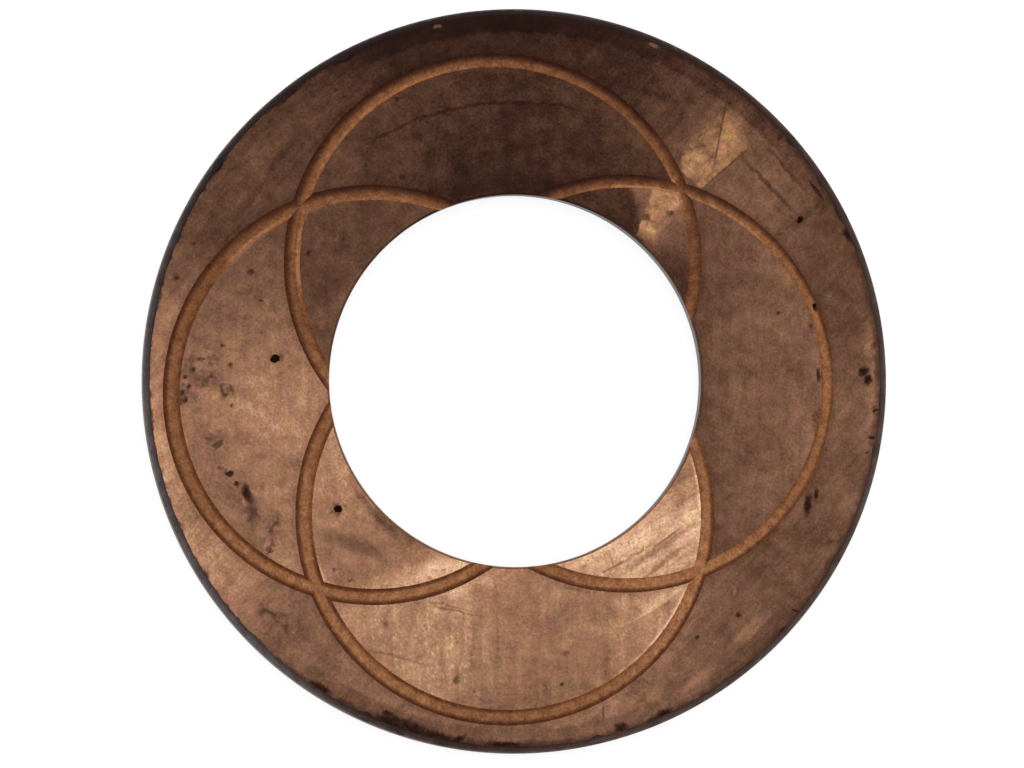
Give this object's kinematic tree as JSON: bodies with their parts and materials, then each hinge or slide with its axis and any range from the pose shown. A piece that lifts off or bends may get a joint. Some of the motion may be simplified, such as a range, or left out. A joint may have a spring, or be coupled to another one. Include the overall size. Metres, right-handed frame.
{
  "type": "thrust washer",
  "caption": "Flat bronze thrust washer with a wide plain bore and overlapping circular oil grooves in one face, for taking end load between a turning part and its housing.",
  "frame": {"origin": "middle of the bore, on the plain back face that the washer lies on", "axes": "+Z along the bore, out of the grooved face; +Y is the picture's up and +X its right"},
  "size_m": [0.12, 0.12, 0.006],
  "materials": {
    "bronze": "machined bronze, dulled and stained by use, with ochre groove floors and a dark rim"
  },
  "bodies": {
    "root": {"thrust_washer": "bronze"}
  },
  "joints": []
}
